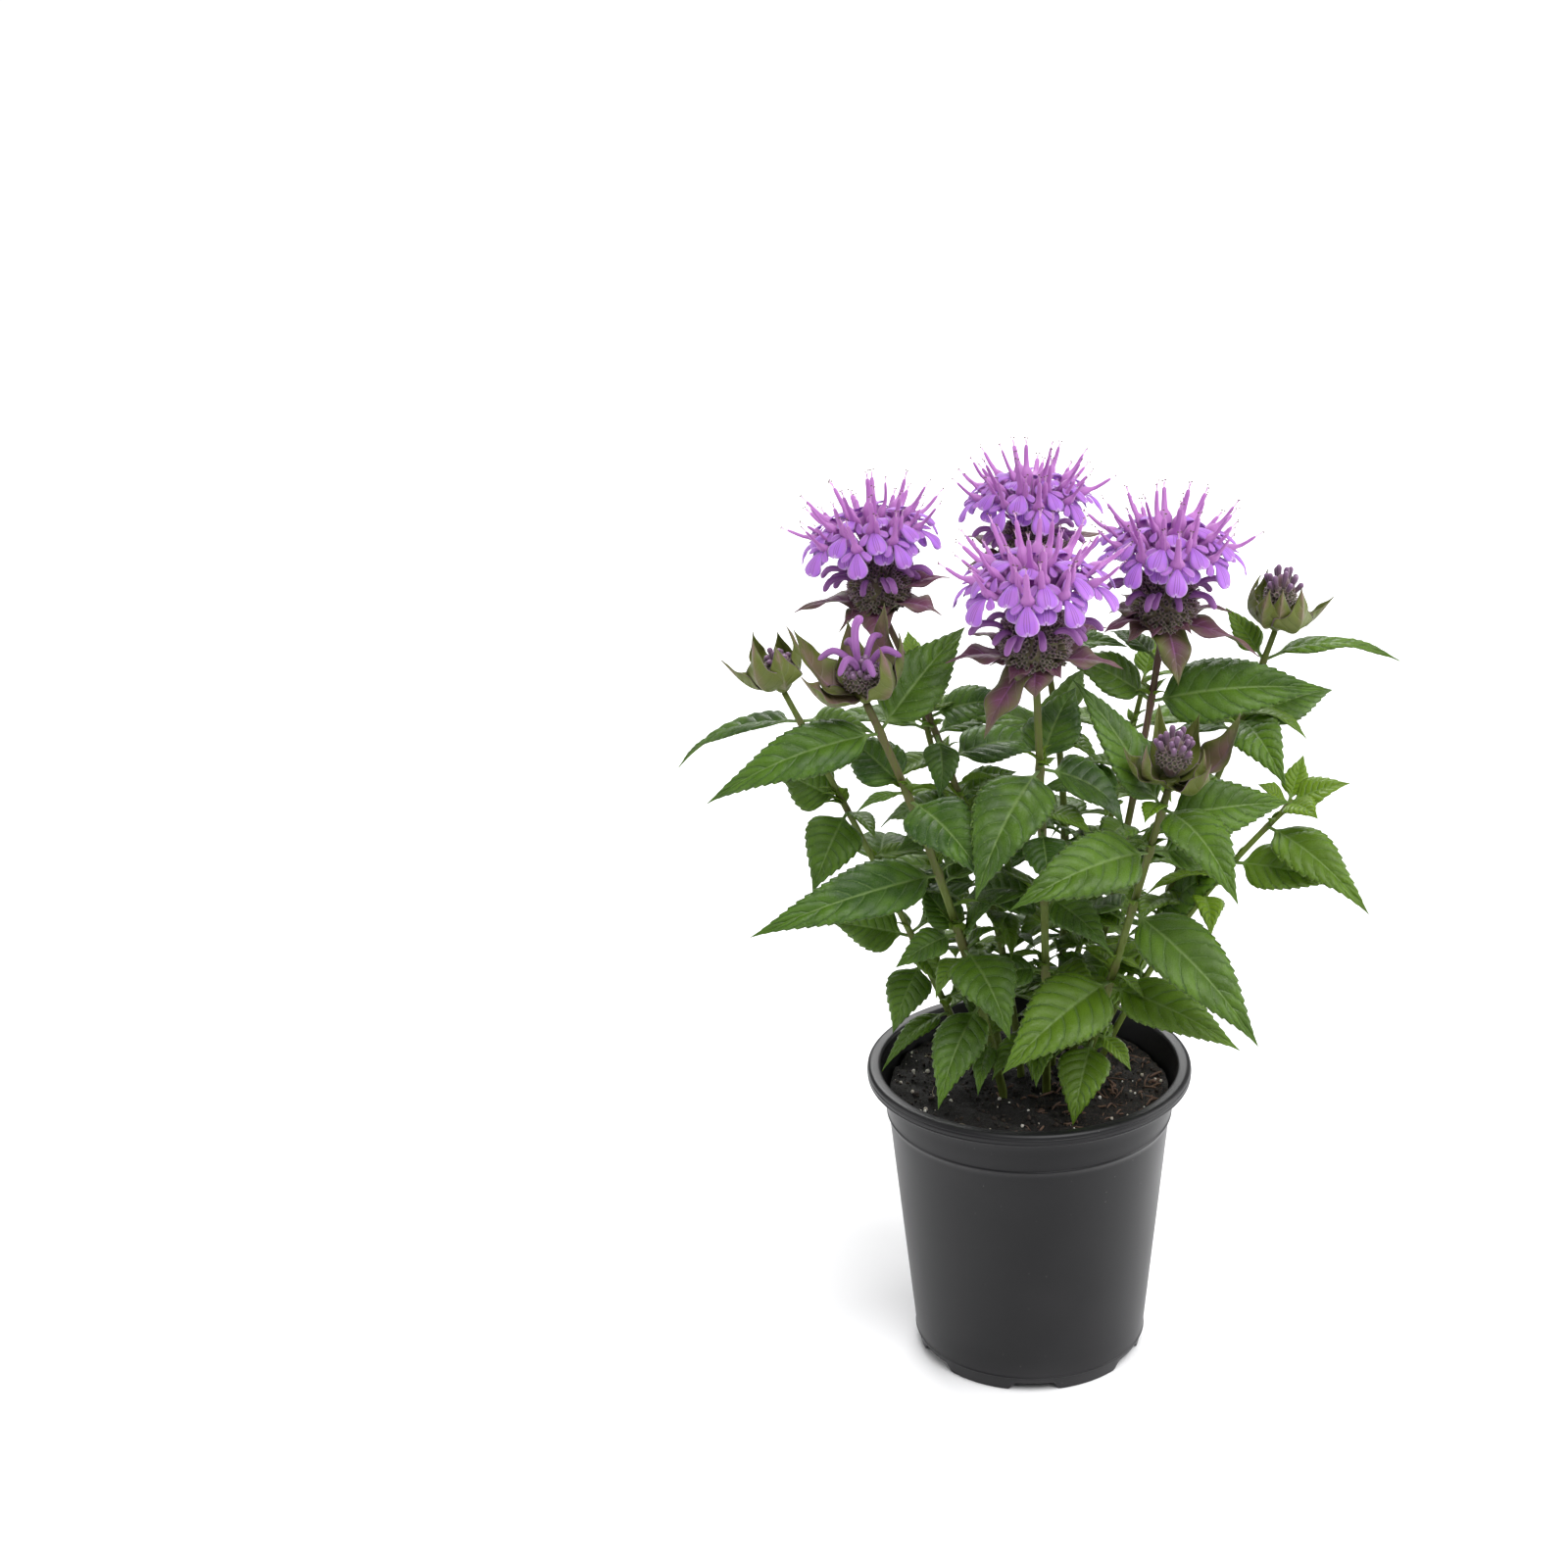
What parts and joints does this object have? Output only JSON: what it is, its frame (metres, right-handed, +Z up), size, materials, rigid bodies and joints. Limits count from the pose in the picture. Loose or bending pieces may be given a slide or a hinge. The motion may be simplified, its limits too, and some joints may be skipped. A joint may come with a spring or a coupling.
{
  "type": "potted bee balm",
  "caption": "Flowering perennial with open lilac whorls, bud heads and toothed leaves on square stems, in a round black nursery pot.",
  "frame": {"origin": "centre of the pot's foot, on the surface that it stands on", "axes": "+Z up along the pot's axis, -Y towards the viewer, +X to the viewer's right"},
  "size_m": [0.355, 0.2079, 0.466],
  "materials": {
    "pot_plastic": "black injection-moulded nursery pot plastic with a low satin sheen",
    "soil": "dark moist peat and bark potting mix with white perlite",
    "foliage": "softly hairy mid-green leaves with paler veins, on green to purple-brown stems",
    "calyx": "dull purple-brown calyces and bracts",
    "petals": "soft translucent lilac-purple florets",
    "bud_bracts": "olive-green bracts flushed with dull purple",
    "closed_florets": "dusky purple closed florets"
  },
  "bodies": {
    "root": {"pot": "pot_plastic", "soil": "soil", "stem_front": "foliage", "stem_left": "foliage", "stem_back": "foliage", "stem_right": "foliage", "stem_bud_far_left": "foliage", "stem_bud_left": "foliage", "stem_bud_right": "foliage", "stem_bud_front": "foliage", "stem_shoot_right": "foliage", "stem_rear_left": "foliage", "stem_rear_right": "foliage", "calyx_front": "calyx", "florets_front": "petals", "calyx_left": "calyx", "florets_left": "petals", "calyx_back": "calyx", "florets_back": "petals", "calyx_right": "calyx", "florets_right": "petals", "bracts_bud_far_left": "bud_bracts", "closed_bud_far_left": "closed_florets", "bracts_bud_left": "bud_bracts", "closed_bud_left": "closed_florets", "bracts_bud_right": "bud_bracts", "closed_bud_right": "closed_florets", "bracts_bud_front": "bud_bracts", "closed_bud_front": "closed_florets"}
  },
  "joints": []
}
